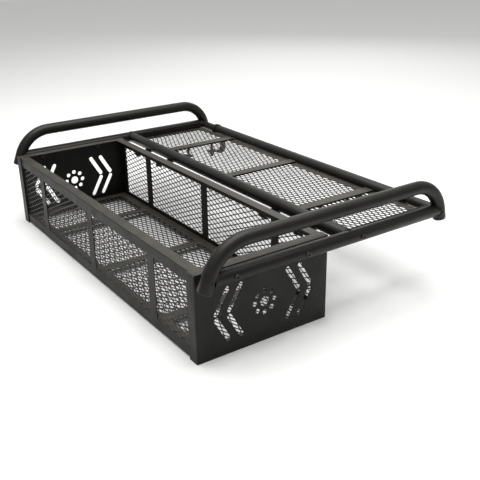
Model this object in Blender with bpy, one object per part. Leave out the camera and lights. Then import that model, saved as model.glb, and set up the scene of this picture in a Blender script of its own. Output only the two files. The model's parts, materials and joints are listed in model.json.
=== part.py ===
"""Rear utility rack with a drop basket for a quad bike, as separate steel pieces.

The rack has a flat mesh deck that clamps on top of the vehicle's own rack, and an open basket that
hangs behind the deck, between two side rails. A bent handle tube stands on each side rail.
Metres, +Z up, +Y towards the front of the vehicle, X across it. The rack is built about the middle
of the deck's underside, then moved so that the origin is below its middle, level with its base.
"""

import math

import bmesh
import bpy
from mathutils import Matrix, Vector

# Driving dimensions
GAP = 0.0003                  # air left between pieces that touch
TUBE_RADIUS = 0.015875        # 1.25 inch tube
TUBE_WALL = 0.0016
STUB_RADIUS = 0.0127          # 1 inch tube
SHEET = 0.0025                # side plates
PANEL_SHEET = 0.0020          # panel frames
MESH_SHEET = 0.0018           # expanded metal as a plain sheet

BASKET_WIDTH = 1.016
BASKET_DEPTH = 0.346
SIDE_HEIGHT = 0.2045
PANEL_HEIGHT = 0.2005
FLOOR_BELOW_RIM = 0.1860
RIM_FLANGE = 0.0254
RETURN_FLANGE = 0.030
BORDER = 0.0254               # solid border of every panel frame
BAR_WIDTH = 0.030
BAR_THICKNESS = 0.005
BAR_PITCH = 0.320             # from the centre bar to each outer bar
STRIP_WIDTH = 0.020
ANGLE_SHEET = 0.0020
HANGERS_X = (("inner", 0.264), ("outer", 0.402))
HANGER_WIDTH, HANGER_SHEET = 0.030, 0.004

DECK_LENGTH = 0.2455          # clear length between the two cross tubes
RIM_ABOVE_DECK = 0.0097       # basket rim above the top of the deck bars
RAIL_BELOW_RIM = 0.0089
BOLTS_BELOW_RIM = 0.0097      # just under the rail's middle, so the nuts clear the rim flange
HANDLE_ABOVE_RIM = 0.0617
LEG_END_BELOW_RIM = 0.0300
RAIL_X = 0.530
FRONT_TUBE_HALF = 0.425       # the front tube steps down to a stub beyond this
COLLAR_RADIUS, COLLAR_LENGTH = 0.0178, 0.012
HANG_GAP = 0.0296             # between the basket and the rear cross tube

# Heights and places that follow from them
BAR_Z = PANEL_SHEET + GAP
RIM_Z = BAR_Z + BAR_THICKNESS + RIM_ABOVE_DECK
RAIL_Z = RIM_Z - RAIL_BELOW_RIM
BOLT_Z = RIM_Z - BOLTS_BELOW_RIM
HANDLE_Z = RIM_Z + HANDLE_ABOVE_RIM
LEG_END_Z = RIM_Z - LEG_END_BELOW_RIM
FRONT_TUBE_Y = DECK_LENGTH / 2 + TUBE_RADIUS
REAR_TUBE_Y = -FRONT_TUBE_Y
BASKET_FRONT_Y = REAR_TUBE_Y - TUBE_RADIUS - HANG_GAP
BASKET_REAR_Y = BASKET_FRONT_Y - BASKET_DEPTH
BASKET_MID_Y = (BASKET_FRONT_Y + BASKET_REAR_Y) / 2
PLATE_X = BASKET_WIDTH / 2
FLOOR_Z = RIM_Z - FLOOR_BELOW_RIM
BARS_X = (-BAR_PITCH, 0.0, BAR_PITCH)
SIDES = (("right", 1), ("left", -1))

# Handle: where the leg's line meets the top run, the leg's lean from upright, and the bend radius
REAR_CORNER_Y, REAR_LEAN, REAR_BEND = BASKET_REAR_Y + 0.0465, math.radians(21.7), 0.100
FRONT_CORNER_Y, FRONT_LEAN, FRONT_BEND = FRONT_TUBE_Y - 0.0079, math.radians(13.4), 0.088

# Cut-outs of the side plates
PATTERN_BELOW_RIM = 0.1092
CHEVRON_TIPS = (0.0905, 0.1235)
SLOT_TIP_RISE, SLOT_END_RISE, SLOT_RUN, SLOT_WIDTH = 0.0072, 0.0584, 0.0292, 0.012
RING_HOLES, RING_RADIUS, RING_HOLE_RADIUS, CENTRE_HOLE_RADIUS = 8, 0.0265, 0.0062, 0.0115

# Fasteners
BOLT_RADIUS = 0.004           # M8
HOLE_RADIUS = 0.0043
HEAD_RADIUS, HEAD_HEIGHT = 0.007, 0.0044
NUT_HALF_FLATS, NUT_HEIGHT = 0.0065, 0.0065
BASKET_BOLTS_Y = (BASKET_REAR_Y + 0.077, BASKET_REAR_Y + 0.258)
DECK_BOLT_Y = REAR_TUBE_Y + 0.0255
CLAMPS_Y = (("rear", -0.070), ("front", 0.070))
STUD_OFFSET = 0.026           # from the middle of the saddle
STUD_LENGTH = 0.042
STRAP_WIDTH, STRAP_THICKNESS = 0.026, 0.004
SADDLE_RADIUS = 0.0150        # fits a vehicle rack tube up to 30 mm across

for old in list(bpy.data.objects):
    bpy.data.objects.remove(old, do_unlink=True)


# Materials

def material(name, colour, roughness, metallic):
    made = bpy.data.materials.new(name)
    made.use_nodes = True
    shader = made.node_tree.nodes["Principled BSDF"]
    shader.inputs["Base Color"].default_value = (*colour, 1.0)
    shader.inputs["Roughness"].default_value = roughness
    shader.inputs["Metallic"].default_value = metallic
    return made


POWDER_TUBE = material("powder_coated_tube", (0.016, 0.016, 0.014), 0.42, 0.0)
POWDER_SHEET = material("powder_coated_sheet", (0.014, 0.014, 0.012), 0.50, 0.0)
POWDER_MESH = material("powder_coated_expanded_metal", (0.020, 0.020, 0.017), 0.55, 0.0)
BLACK_ZINC = material("black_zinc_fastener", (0.030, 0.030, 0.030), 0.38, 0.8)
BLACK_PLASTIC = material("moulded_black_plastic", (0.012, 0.012, 0.012), 0.60, 0.0)


# Helpers

def finish(name, bm, surface, smooth=True):
    """Turns a bmesh into an object with its own material."""
    mesh = bpy.data.meshes.new(name)
    bm.to_mesh(mesh)
    bm.free()
    if smooth:
        mesh.shade_smooth()
        mesh.set_sharp_from_angle(angle=math.radians(35))
    made = bpy.data.objects.new(name, mesh)
    bpy.context.scene.collection.objects.link(made)
    made.data.materials.append(surface)
    return made


def helper(name, bm):
    """A body that only shapes others: it is drawn as wire and left out of the model."""
    made = finish(name, bm, POWDER_TUBE)
    made.hide_render = True
    made.display_type = "WIRE"
    return made


def shaped_by(made, tool, operation="DIFFERENCE"):
    change = made.modifiers.new(tool.name, "BOOLEAN")
    change.operation = operation
    change.solver = "EXACT"
    change.object = tool
    return made


def thickened(made, thickness, bend_radius=0.0):
    """Gives a folded sheet its thickness, inwards from its outer face, and rounds its folds."""
    if bend_radius:
        bend = made.modifiers.new("bend", "BEVEL")
        bend.width = bend_radius
        bend.segments = 2
        bend.limit_method = "ANGLE"
        bend.angle_limit = math.radians(40)
    skin = made.modifiers.new("thickness", "SOLIDIFY")
    skin.thickness = thickness
    skin.offset = -1
    skin.use_even_offset = True
    return made


def box_into(bm, low, high):
    low, high = Vector(low), Vector(high)
    place = Matrix.Translation((low + high) / 2) @ Matrix.Diagonal((*(high - low), 1.0))
    bmesh.ops.create_cube(bm, size=1.0, matrix=place)


def rod_into(bm, start, end, radius, sides=16):
    start, end = Vector(start), Vector(end)
    turn = (end - start).to_track_quat("Z", "Y").to_matrix().to_4x4()
    bmesh.ops.create_cone(
        bm, cap_ends=True, segments=sides, radius1=radius, radius2=radius,
        depth=(end - start).length, matrix=Matrix.Translation((start + end) / 2) @ turn)


def straight_tube(name, start, end, radius, wall, surface, sides=24):
    """A hollow tube with open ends: a closed rod whose bore is a second rod, cut through it."""
    bm = bmesh.new()
    rod_into(bm, start, end, radius, sides)
    made = finish(name, bm, surface)
    along = (Vector(end) - Vector(start)).normalized() * 0.01
    bm = bmesh.new()
    rod_into(bm, Vector(start) - along, Vector(end) + along, radius - wall, sides // 2)
    return shaped_by(made, helper(name + "_bore", bm))


def handle_path(bm, x, radius, sides):
    """Sweeps a ring up the rear leg, round both bends and down the front leg; returns both end rings."""
    lean = Vector((0, math.sin(REAR_LEAN), math.cos(REAR_LEAN)))
    rear_turn = math.pi / 2 - REAR_LEAN
    front_turn = math.pi / 2 - FRONT_LEAN
    rear_reach = REAR_BEND * math.tan(rear_turn / 2)
    front_reach = FRONT_BEND * math.tan(front_turn / 2)
    rear_run = (HANDLE_Z - LEG_END_Z) / math.cos(REAR_LEAN) - rear_reach
    front_run = (HANDLE_Z - LEG_END_Z) / math.cos(FRONT_LEAN) - front_reach
    rear_corner = Vector((x, REAR_CORNER_Y, HANDLE_Z))
    start = rear_corner - lean * (rear_run + rear_reach)

    turn = lean.to_track_quat("Z", "X").to_matrix().to_4x4()
    ring = bmesh.ops.create_circle(
        bm, cap_ends=False, segments=sides, radius=radius, matrix=Matrix.Translation(start) @ turn)
    first = {edge for vert in ring["verts"] for edge in vert.link_edges}
    state = {"edges": list(first), "at": start, "heading": lean}

    def run(length):
        grown = bmesh.ops.extrude_edge_only(bm, edges=state["edges"])["geom"]
        step = state["heading"] * length
        bmesh.ops.translate(bm, vec=step, verts=[g for g in grown if isinstance(g, bmesh.types.BMVert)])
        state["edges"] = [g for g in grown if isinstance(g, bmesh.types.BMEdge)]
        state["at"] = state["at"] + step

    def bend(bend_radius, angle, steps=8):
        inward = Vector((0, state["heading"].z, -state["heading"].y))
        centre = state["at"] + inward * bend_radius
        grown = bmesh.ops.spin(
            bm, geom=state["edges"], cent=centre, axis=(-1, 0, 0), angle=angle, steps=steps,
            dvec=(0, 0, 0), use_duplicate=False)["geom_last"]
        turned = Matrix.Rotation(-angle, 3, "X")
        state["edges"] = [g for g in grown if isinstance(g, bmesh.types.BMEdge)]
        state["at"] = centre + turned @ (state["at"] - centre)
        state["heading"] = turned @ state["heading"]

    run(rear_run)
    bend(REAR_BEND, rear_turn)
    run(FRONT_CORNER_Y - REAR_CORNER_Y - rear_reach - front_reach)
    bend(FRONT_BEND, front_turn)
    run(front_run)
    return list(first), state["edges"]


def closed_sweep(x, radius, sides):
    """The handle's path as one closed bmesh body."""
    bm = bmesh.new()
    handle_path(bm, x, radius, sides)
    bmesh.ops.holes_fill(bm, edges=[e for e in bm.edges if e.is_boundary], sides=0)
    bmesh.ops.recalc_face_normals(bm, faces=bm.faces)
    return bm


def turned(name, profile, origin, direction, surface, segments=16, closed=False):
    """A turned piece: a profile of (distance along the axis, radius) spun about the axis."""
    bm = bmesh.new()
    points = [bm.verts.new((radius, 0, along)) for along, radius in profile]
    pairs = list(zip(points, points[1:]))
    if closed:
        pairs.append((points[-1], points[0]))
    edges = [bm.edges.new(pair) for pair in pairs]
    bmesh.ops.spin(
        bm, geom=points + edges, cent=(0, 0, 0), axis=(0, 0, 1), angle=math.tau, steps=segments,
        dvec=(0, 0, 0), use_merge=True, use_duplicate=False)
    bmesh.ops.remove_doubles(bm, verts=bm.verts, dist=1e-6)
    bmesh.ops.recalc_face_normals(bm, faces=bm.faces)
    turn = Vector(direction).to_track_quat("Z", "Y").to_matrix().to_4x4()
    bm.transform(Matrix.Translation(origin) @ turn)
    return finish(name, bm, surface)


def ring(name, start, end, inner, outer, surface, sides=16):
    """A spacer or collar: a turned piece whose profile is a closed rectangle."""
    along = Vector(end) - Vector(start)
    corners = [(0, inner), (0, outer), (along.length, outer), (along.length, inner)]
    return turned(name, corners, start, along, surface, sides, closed=True)


def hex_nut(name, origin, direction):
    """A hexagon nut: two rings of twelve points, the outer one drawn out to a hexagon."""
    bm = bmesh.new()
    loops = []
    for radius, is_hexagon in ((HOLE_RADIUS, False), (NUT_HALF_FLATS, True)):
        verts = bmesh.ops.create_circle(bm, cap_ends=False, segments=12, radius=radius)["verts"]
        loops += list({edge for vert in verts for edge in vert.link_edges})
        if is_hexagon:
            for vert in verts:
                off_flat = math.atan2(vert.co.y, vert.co.x) % (math.pi / 3) - math.pi / 6
                vert.co *= 1 / math.cos(off_flat)
    bmesh.ops.bridge_loops(bm, edges=loops)
    grown = bmesh.ops.extrude_face_region(bm, geom=list(bm.faces))["geom"]
    top = [g for g in grown if isinstance(g, bmesh.types.BMVert)]
    bmesh.ops.translate(bm, vec=(0, 0, NUT_HEIGHT), verts=top)
    bmesh.ops.recalc_face_normals(bm, faces=bm.faces)
    turn = Vector(direction).to_track_quat("Z", "Y").to_matrix().to_4x4()
    bm.transform(Matrix.Translation(origin) @ turn)
    return finish(name, bm, BLACK_ZINC)


def button_bolt(name, head_face, direction, length):
    """A button-head bolt: its head stands on head_face, its shank runs back along -direction."""
    profile = [(-length, 0), (-length, BOLT_RADIUS - 0.0006), (-length + 0.0006, BOLT_RADIUS),
               (0, BOLT_RADIUS), (0, HEAD_RADIUS), (HEAD_HEIGHT * 0.35, HEAD_RADIUS * 0.98),
               (HEAD_HEIGHT * 0.75, HEAD_RADIUS * 0.82), (HEAD_HEIGHT, HEAD_RADIUS * 0.55), (HEAD_HEIGHT, 0)]
    made = turned(name, profile, head_face, direction, BLACK_ZINC)
    along = Vector(direction)
    top = Vector(head_face) + along * HEAD_HEIGHT
    bm = bmesh.new()
    rod_into(bm, top - along * 0.0025, top + along * 0.002, 0.0026, 6)
    return shaped_by(made, helper(name + "_socket", bm))


def cut_rectangle(low, high, lines_a, lines_b, axes, is_open):
    """A flat sheet with windows: one rectangle, cut along lines, with the open cells taken out."""
    first, second = axes
    bm = bmesh.new()
    corners = [(low, low), (high, low), (high, high), (low, high)]
    points = []
    for corner_a, corner_b in corners:
        spot = list(low)
        spot[first] = corner_a[first]
        spot[second] = corner_b[second]
        points.append(bm.verts.new(spot))
    bm.faces.new(points)
    for axis, lines in ((first, lines_a), (second, lines_b)):
        normal = [0, 0, 0]
        normal[axis] = 1
        for value in lines:
            spot = [0, 0, 0]
            spot[axis] = value
            bmesh.ops.bisect_plane(bm, geom=bm.verts[:] + bm.edges[:] + bm.faces[:], dist=1e-7,
                                   plane_co=spot, plane_no=normal)
    empty = [f for f in bm.faces if is_open(f.calc_center_median())]
    bmesh.ops.delete(bm, geom=empty, context="FACES")
    return bm


def fold(bm, chosen, offset):
    """Folds a flange out from the chosen edges of a sheet."""
    edges = [e for e in bm.edges if e.is_boundary and chosen((e.verts[0].co + e.verts[1].co) / 2)]
    grown = bmesh.ops.extrude_edge_only(bm, edges=edges)["geom"]
    bmesh.ops.translate(bm, vec=offset, verts=[g for g in grown if isinstance(g, bmesh.types.BMVert)])


def facing(bm, outward):
    """Turns the sheet's faces so that its widest face looks along outward."""
    bmesh.ops.recalc_face_normals(bm, faces=bm.faces)
    widest = max(bm.faces, key=lambda f: f.calc_area())
    if widest.normal.dot(Vector(outward)) < 0:
        bmesh.ops.reverse_faces(bm, faces=bm.faces)


def near(value, target):
    return abs(value - target) < 1e-5


def no_opening(spot):
    return False


# Tubes: the handles, side rails and cross tubes

def tubes():
    for side, sign in SIDES:
        handle = finish("side_handle_" + side, closed_sweep(sign * RAIL_X, TUBE_RADIUS, 20), POWDER_TUBE)
        bm = bmesh.new()
        ends = handle_path(bm, sign * RAIL_X, TUBE_RADIUS - TUBE_WALL, 12)
        for loop, sense in zip(ends, (-1, 1)):
            lean = REAR_LEAN if sense < 0 else FRONT_LEAN
            down = Vector((0, sense * math.sin(lean), -math.cos(lean))) * 0.01
            bmesh.ops.translate(bm, vec=down, verts=list({v for e in loop for v in e.verts}))
        bmesh.ops.holes_fill(bm, edges=[e for e in bm.edges if e.is_boundary], sides=0)
        bmesh.ops.recalc_face_normals(bm, faces=bm.faces)
        shaped_by(handle, helper("handle_bore_" + side, bm))

        around_handle = helper("around_handle_" + side, closed_sweep(sign * RAIL_X, TUBE_RADIUS + GAP, 20))
        rail = straight_tube(
            "side_rail_" + side, (sign * RAIL_X, BASKET_REAR_Y + 0.018, RAIL_Z),
            (sign * RAIL_X, FRONT_TUBE_Y + 0.008, RAIL_Z), TUBE_RADIUS, TUBE_WALL, POWDER_TUBE)
        shaped_by(rail, around_handle)
        bm = bmesh.new()
        for y in (*BASKET_BOLTS_Y, DECK_BOLT_Y):
            rod_into(bm, (sign * (RAIL_X - 0.03), y, BOLT_Z), (sign * (RAIL_X + 0.03), y, BOLT_Z),
                     HOLE_RADIUS, 12)
        shaped_by(rail, helper("rail_holes_" + side, bm))

    bm = bmesh.new()
    for side, sign in SIDES:
        rod_into(bm, (sign * RAIL_X, BASKET_REAR_Y, RAIL_Z), (sign * RAIL_X, FRONT_TUBE_Y + 0.05, RAIL_Z),
                 TUBE_RADIUS + GAP, 24)
    around_rails = helper("around_rails", bm)
    rear = straight_tube("rear_cross_tube", (-RAIL_X, REAR_TUBE_Y, RAIL_Z), (RAIL_X, REAR_TUBE_Y, RAIL_Z),
                         TUBE_RADIUS, TUBE_WALL, POWDER_TUBE)
    shaped_by(rear, around_rails)

    straight_tube("front_cross_tube", (-FRONT_TUBE_HALF, FRONT_TUBE_Y, RAIL_Z),
                  (FRONT_TUBE_HALF, FRONT_TUBE_Y, RAIL_Z), TUBE_RADIUS, TUBE_WALL, POWDER_TUBE)
    for side, sign in SIDES:
        stub = straight_tube(
            "front_tube_stub_" + side, (sign * (FRONT_TUBE_HALF - 0.030), FRONT_TUBE_Y, RAIL_Z),
            (sign * RAIL_X, FRONT_TUBE_Y, RAIL_Z), STUB_RADIUS, 0.002, POWDER_TUBE)
        shaped_by(stub, around_rails)
        shaped_by(stub, bpy.data.objects["around_handle_" + side])
        start = sign * (FRONT_TUBE_HALF + GAP)
        ring("front_tube_collar_" + side, (start, FRONT_TUBE_Y, RAIL_Z),
             (start + sign * COLLAR_LENGTH, FRONT_TUBE_Y, RAIL_Z), STUB_RADIUS + GAP, COLLAR_RADIUS,
             POWDER_TUBE, 24)


def end_plugs():
    """Plastic plugs in the handles' four open ends: a thin head and a shank inside the bore."""
    shank = TUBE_RADIUS - TUBE_WALL - 0.0012
    profile = [(-0.014, 0), (-0.014, shank - 0.0005), (-0.010, shank), (GAP, shank), (GAP, TUBE_RADIUS),
               (0.0022, TUBE_RADIUS), (0.0036, TUBE_RADIUS - 0.003), (0.0036, 0)]
    drop = HANDLE_Z - LEG_END_Z
    legs = (("rear", REAR_CORNER_Y, REAR_LEAN, -1), ("front", FRONT_CORNER_Y, FRONT_LEAN, 1))
    for side, sign in SIDES:
        for end, corner, lean, sense in legs:
            place = Vector((sign * RAIL_X, corner + sense * drop * math.tan(lean), LEG_END_Z))
            down = Vector((0, sense * math.sin(lean), -math.cos(lean)))
            turned(f"handle_end_plug_{end}_{side}", profile, place, down, BLACK_PLASTIC, 20)


# Deck

def clamp_spots():
    """Name, x and y of every clamp's saddle, and y of its stud."""
    for side, x in (("left", -BAR_PITCH), ("right", BAR_PITCH)):
        for place, y in CLAMPS_Y:
            yield f"{place}_{side}", x, y, y - math.copysign(STUD_OFFSET, y)


def deck():
    clear = DECK_LENGTH / 2 - GAP
    edge = RAIL_X - TUBE_RADIUS - ANGLE_SHEET - 3 * GAP
    bm = bmesh.new()
    box_into(bm, (-edge, -clear + STRIP_WIDTH + GAP, 0), (edge, clear - STRIP_WIDTH - GAP, MESH_SHEET))
    panel = finish("deck_mesh", bm, POWDER_MESH, smooth=False)
    bm = bmesh.new()
    for _, x, _, stud_y in clamp_spots():
        rod_into(bm, (x, stud_y, -0.01), (x, stud_y, 0.01), BOLT_RADIUS + 0.001, 12)
    shaped_by(panel, helper("stud_holes", bm))

    for index, x in enumerate(BARS_X):
        name = "deck_bar_" + ("left", "centre", "right")[index]
        bm = bmesh.new()
        box_into(bm, (x - BAR_WIDTH / 2, -clear, BAR_Z), (x + BAR_WIDTH / 2, clear, BAR_Z + BAR_THICKNESS))
        bar = finish(name, bm, POWDER_SHEET, smooth=False)
        studs = [(spot_x, stud_y) for _, spot_x, _, stud_y in clamp_spots() if spot_x == x]
        if studs:
            bm = bmesh.new()
            for spot_x, stud_y in studs:
                rod_into(bm, (spot_x, stud_y, BAR_Z + BAR_THICKNESS / 2), (spot_x, stud_y, -STUD_LENGTH),
                         BOLT_RADIUS, 12)
            shaped_by(bar, helper(name + "_studs", bm), "UNION")

    bm = bmesh.new()
    for _, sign in SIDES:
        rod_into(bm, (sign * FRONT_TUBE_HALF, FRONT_TUBE_Y, RAIL_Z),
                 (sign * (FRONT_TUBE_HALF + COLLAR_LENGTH + 2 * GAP), FRONT_TUBE_Y, RAIL_Z),
                 COLLAR_RADIUS + GAP, 24)
    around_collars = helper("around_collars", bm)
    for end, y in (("rear", -clear), ("front", clear - STRIP_WIDTH)):
        bm = bmesh.new()
        box_into(bm, (-edge + 0.012, y, 0), (edge - 0.012, y + STRIP_WIDTH, PANEL_SHEET))
        strip = finish(f"deck_{end}_strip", bm, POWDER_SHEET, smooth=False)
        if end == "front":
            shaped_by(strip, around_collars)

    for side, sign in SIDES:
        outer = sign * (RAIL_X - TUBE_RADIUS - GAP)
        foot = -GAP - ANGLE_SHEET
        bm = cut_rectangle((outer, -clear, foot), (outer, clear, RAIL_Z + 0.011), (), (), (1, 2), no_opening)
        fold(bm, lambda spot: near(spot.z, foot), (-sign * 0.020, 0, 0))
        facing(bm, (sign, 0, 0))
        angle = thickened(finish("deck_side_angle_" + side, bm, POWDER_SHEET), ANGLE_SHEET)
        bm = bmesh.new()
        rod_into(bm, (outer - 0.02, DECK_BOLT_Y, BOLT_Z), (outer + 0.02, DECK_BOLT_Y, BOLT_Z),
                 HOLE_RADIUS, 12)
        shaped_by(angle, helper("angle_hole_" + side, bm))


def rack_clamps():
    """Hooked saddle straps under the outer deck bars, each on one welded stud with a nut below."""
    middle = -SADDLE_RADIUS - 2 * GAP
    ear = middle - 0.008
    for name, x, y, stud_y in clamp_spots():
        sense = math.copysign(1, y)
        first = math.asin((middle - ear) / SADDLE_RADIUS)
        outline = [(-STUD_OFFSET - 0.011, ear)]
        for step in range(8):
            turn = first + (math.pi - first) * step / 7
            outline.append((-SADDLE_RADIUS * math.cos(turn), middle - SADDLE_RADIUS * math.sin(turn)))
        outline.append((SADDLE_RADIUS, -0.0010))
        bm = bmesh.new()
        points = [bm.verts.new((x - STRAP_WIDTH / 2, y + sense * along, height)) for along, height in outline]
        edges = [bm.edges.new(pair) for pair in zip(points, points[1:])]
        grown = bmesh.ops.extrude_edge_only(bm, edges=edges)["geom"]
        far_edge = [g for g in grown if isinstance(g, bmesh.types.BMVert)]
        bmesh.ops.translate(bm, vec=(STRAP_WIDTH, 0, 0), verts=far_edge)
        facing(bm, (0, 0, 1))
        strap = thickened(finish("clamp_strap_" + name, bm, BLACK_ZINC), STRAP_THICKNESS)
        bm = bmesh.new()
        rod_into(bm, (x, stud_y, ear - 0.01), (x, stud_y, ear + 0.01), HOLE_RADIUS, 12)
        shaped_by(strap, helper("strap_hole_" + name, bm))
        hex_nut("clamp_nut_" + name, (x, stud_y, ear - STRAP_THICKNESS - GAP), (0, 0, -1))


# Basket

def side_plate_cutter(side, sign):
    """Two chevrons of rounded slots each way from a ring of round holes, and the bolt holes."""
    bm = bmesh.new()
    inside, outside = sign * (PLATE_X - 0.02), sign * (PLATE_X + 0.02)
    centre_z = RIM_Z - PATTERN_BELOW_RIM
    for facing_way in (-1, 1):
        for tip in CHEVRON_TIPS:
            for up in (-1, 1):
                start = Vector((0, BASKET_MID_Y + facing_way * tip, centre_z + up * SLOT_TIP_RISE))
                end = Vector((0, BASKET_MID_Y + facing_way * (tip - SLOT_RUN), centre_z + up * SLOT_END_RISE))
                slot_into(bm, start, end, SLOT_WIDTH / 2, inside, outside)
    for number in range(RING_HOLES):
        turn = math.tau * number / RING_HOLES
        y, z = BASKET_MID_Y + RING_RADIUS * math.cos(turn), centre_z + RING_RADIUS * math.sin(turn)
        rod_into(bm, (inside, y, z), (outside, y, z), RING_HOLE_RADIUS, 12)
    rod_into(bm, (inside, BASKET_MID_Y, centre_z), (outside, BASKET_MID_Y, centre_z), CENTRE_HOLE_RADIUS, 16)
    for y in BASKET_BOLTS_Y:
        rod_into(bm, (inside, y, BOLT_Z), (outside, y, BOLT_Z), HOLE_RADIUS, 12)
    return helper("plate_cutter_" + side, bm)


def slot_into(bm, start, end, radius, inside, outside, steps=5):
    """A rounded slot between two centres, as a prism across the plate."""
    along = (end - start).normalized()
    across = Vector((0, -along.z, along.y))
    verts = []
    for centre, sense in ((end, 1), (start, -1)):
        for step in range(steps + 1):
            turn = math.pi * step / steps - math.pi / 2
            spot = centre + radius * sense * (along * math.cos(turn) + across * math.sin(turn))
            verts.append(bm.verts.new((inside, spot.y, spot.z)))
    face = bm.faces.new(verts)
    grown = bmesh.ops.extrude_face_region(bm, geom=[face])["geom"]
    far_side = [g for g in grown if isinstance(g, bmesh.types.BMVert)]
    bmesh.ops.translate(bm, vec=(outside - inside, 0, 0), verts=far_side)
    bmesh.ops.recalc_face_normals(bm, faces=bm.faces)


def side_plates():
    relief = RIM_Z - SHEET - 0.0008
    for side, sign in SIDES:
        outer = sign * PLATE_X
        bm = cut_rectangle((outer, BASKET_REAR_Y, RIM_Z - SIDE_HEIGHT), (outer, BASKET_FRONT_Y, RIM_Z),
                           (), (relief,), (1, 2), no_opening)
        fold(bm, lambda spot: near(spot.z, RIM_Z), (-sign * RIM_FLANGE, 0, 0))
        for y in (BASKET_REAR_Y, BASKET_FRONT_Y):
            fold(bm, lambda spot, y=y: near(spot.y, y) and near(spot.x, outer) and spot.z < relief,
                 (-sign * RETURN_FLANGE, 0, 0))
        facing(bm, (sign, 0, 0))
        plate = thickened(finish("side_plate_" + side, bm, POWDER_SHEET), SHEET, 0.0012)
        shaped_by(plate, side_plate_cutter(side, sign))


def window_lines():
    """X of the edges of the three vertical bars."""
    return [x + edge for x in BARS_X for edge in (-BAR_WIDTH / 2, BAR_WIDTH / 2)]


def in_window(x, half_width):
    return abs(x) < half_width and all(abs(x - bar) > BAR_WIDTH / 2 for bar in BARS_X)


def end_panels():
    """Rear and front panels: a folded sheet with four windows, and expanded metal behind them."""
    half = PLATE_X - SHEET - 0.0015
    window = PLATE_X - RETURN_FLANGE
    flange_half = PLATE_X - RIM_FLANGE - GAP
    top, bottom = RIM_Z, RIM_Z - PANEL_HEIGHT
    shoulder = RIM_Z - SHEET - GAP
    for name, face_y, inward in (("rear", BASKET_REAR_Y, 1), ("front", BASKET_FRONT_Y, -1)):
        y = face_y + inward * (SHEET + GAP)
        lines_x = [-window, -flange_half, *window_lines(), flange_half, window]
        lines_z = [bottom + BORDER, top - BORDER, shoulder]

        def is_open(spot):
            if abs(spot.x) > flange_half and spot.z > shoulder:
                return True
            return in_window(spot.x, window) and bottom + BORDER < spot.z < top - BORDER

        bm = cut_rectangle((-half, y, bottom), (half, y, top), lines_x, lines_z, (0, 2), is_open)
        fold(bm, lambda spot: near(spot.z, top), (0, inward * RIM_FLANGE, 0))
        bmesh.ops.dissolve_limit(bm, angle_limit=0.01, verts=bm.verts[:], edges=bm.edges[:])
        facing(bm, (0, -inward, 0))
        thickened(finish(name + "_panel_frame", bm, POWDER_SHEET), PANEL_SHEET, 0.0010)

        bm = bmesh.new()
        if name == "rear":
            low_y = y + PANEL_SHEET + GAP
            half_mesh = half - 0.002
        else:
            low_y = y + GAP
            half_mesh = window - 2 * GAP
        box_into(bm, (-half_mesh, low_y, bottom + 0.008), (half_mesh, low_y + MESH_SHEET, top - 0.010))
        finish(name + "_panel_mesh", bm, POWDER_MESH, smooth=False)


def floor():
    low_y = BASKET_REAR_Y + SHEET + PANEL_SHEET + MESH_SHEET + 5 * GAP
    high_y = BASKET_FRONT_Y - SHEET - PANEL_SHEET - 3 * GAP
    half = PLATE_X - SHEET - 0.0010
    lines_x = [-half + BORDER, *window_lines(), half - BORDER]
    bm = cut_rectangle(
        (-half, low_y, FLOOR_Z), (half, high_y, FLOOR_Z), lines_x, (low_y + BORDER, high_y - BORDER), (0, 1),
        lambda spot: in_window(spot.x, half - BORDER) and low_y + BORDER < spot.y < high_y - BORDER)
    bmesh.ops.dissolve_limit(bm, angle_limit=0.01, verts=bm.verts[:], edges=bm.edges[:])
    facing(bm, (0, 0, 1))
    thickened(finish("floor_frame", bm, POWDER_SHEET), PANEL_SHEET)
    bm = bmesh.new()
    top = FLOOR_Z - PANEL_SHEET - GAP
    box_into(bm, (-half + 0.004, low_y + 0.004, top - MESH_SHEET), (half - 0.004, high_y - 0.004, top))
    finish("floor_mesh", bm, POWDER_MESH, smooth=False)


def hanger_brackets():
    """Flat tabs with a short turned-down foot, from the basket's front panel under the rear cross tube."""
    ledge = RAIL_Z - TUBE_RADIUS - GAP
    back = BASKET_FRONT_Y + 2 * GAP
    for side, sign in SIDES:
        for name, x in HANGERS_X:
            low_x, high_x = sign * x - HANGER_WIDTH / 2, sign * x + HANGER_WIDTH / 2
            bm = cut_rectangle((low_x, back, ledge), (high_x, REAR_TUBE_Y + 0.006, ledge), (), (), (0, 1),
                               no_opening)
            fold(bm, lambda spot: near(spot.y, back), (0, 0, -0.012))
            facing(bm, (0, 0, 1))
            thickened(finish(f"hanger_bracket_{name}_{side}", bm, POWDER_SHEET), HANGER_SHEET, 0.002)


# Fasteners through the rails

def rail_fasteners():
    plate_inner = PLATE_X - SHEET
    head = RAIL_X + TUBE_RADIUS + GAP
    for side, sign in SIDES:
        out = (sign, 0, 0)
        back = (-sign, 0, 0)
        for place, y in zip(("rear", "front"), BASKET_BOLTS_Y):
            button_bolt(f"basket_bolt_{place}_{side}", (sign * head, y, BOLT_Z), out,
                        head - plate_inner + NUT_HEIGHT + 0.002)
            hex_nut(f"basket_nut_{place}_{side}", (sign * (plate_inner - GAP), y, BOLT_Z), back)
            ring(f"plate_spacer_{place}_{side}", (sign * (PLATE_X + GAP), y, BOLT_Z),
                 (sign * (RAIL_X - TUBE_RADIUS - GAP), y, BOLT_Z), HOLE_RADIUS, 0.008, BLACK_ZINC, 16)
        angle_inner = RAIL_X - TUBE_RADIUS - GAP - ANGLE_SHEET
        button_bolt(f"deck_bolt_{side}", (sign * head, DECK_BOLT_Y, BOLT_Z), out,
                    head - angle_inner + NUT_HEIGHT + 0.002)
        hex_nut(f"deck_nut_{side}", (sign * (angle_inner - GAP), DECK_BOLT_Y, BOLT_Z), back)


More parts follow.
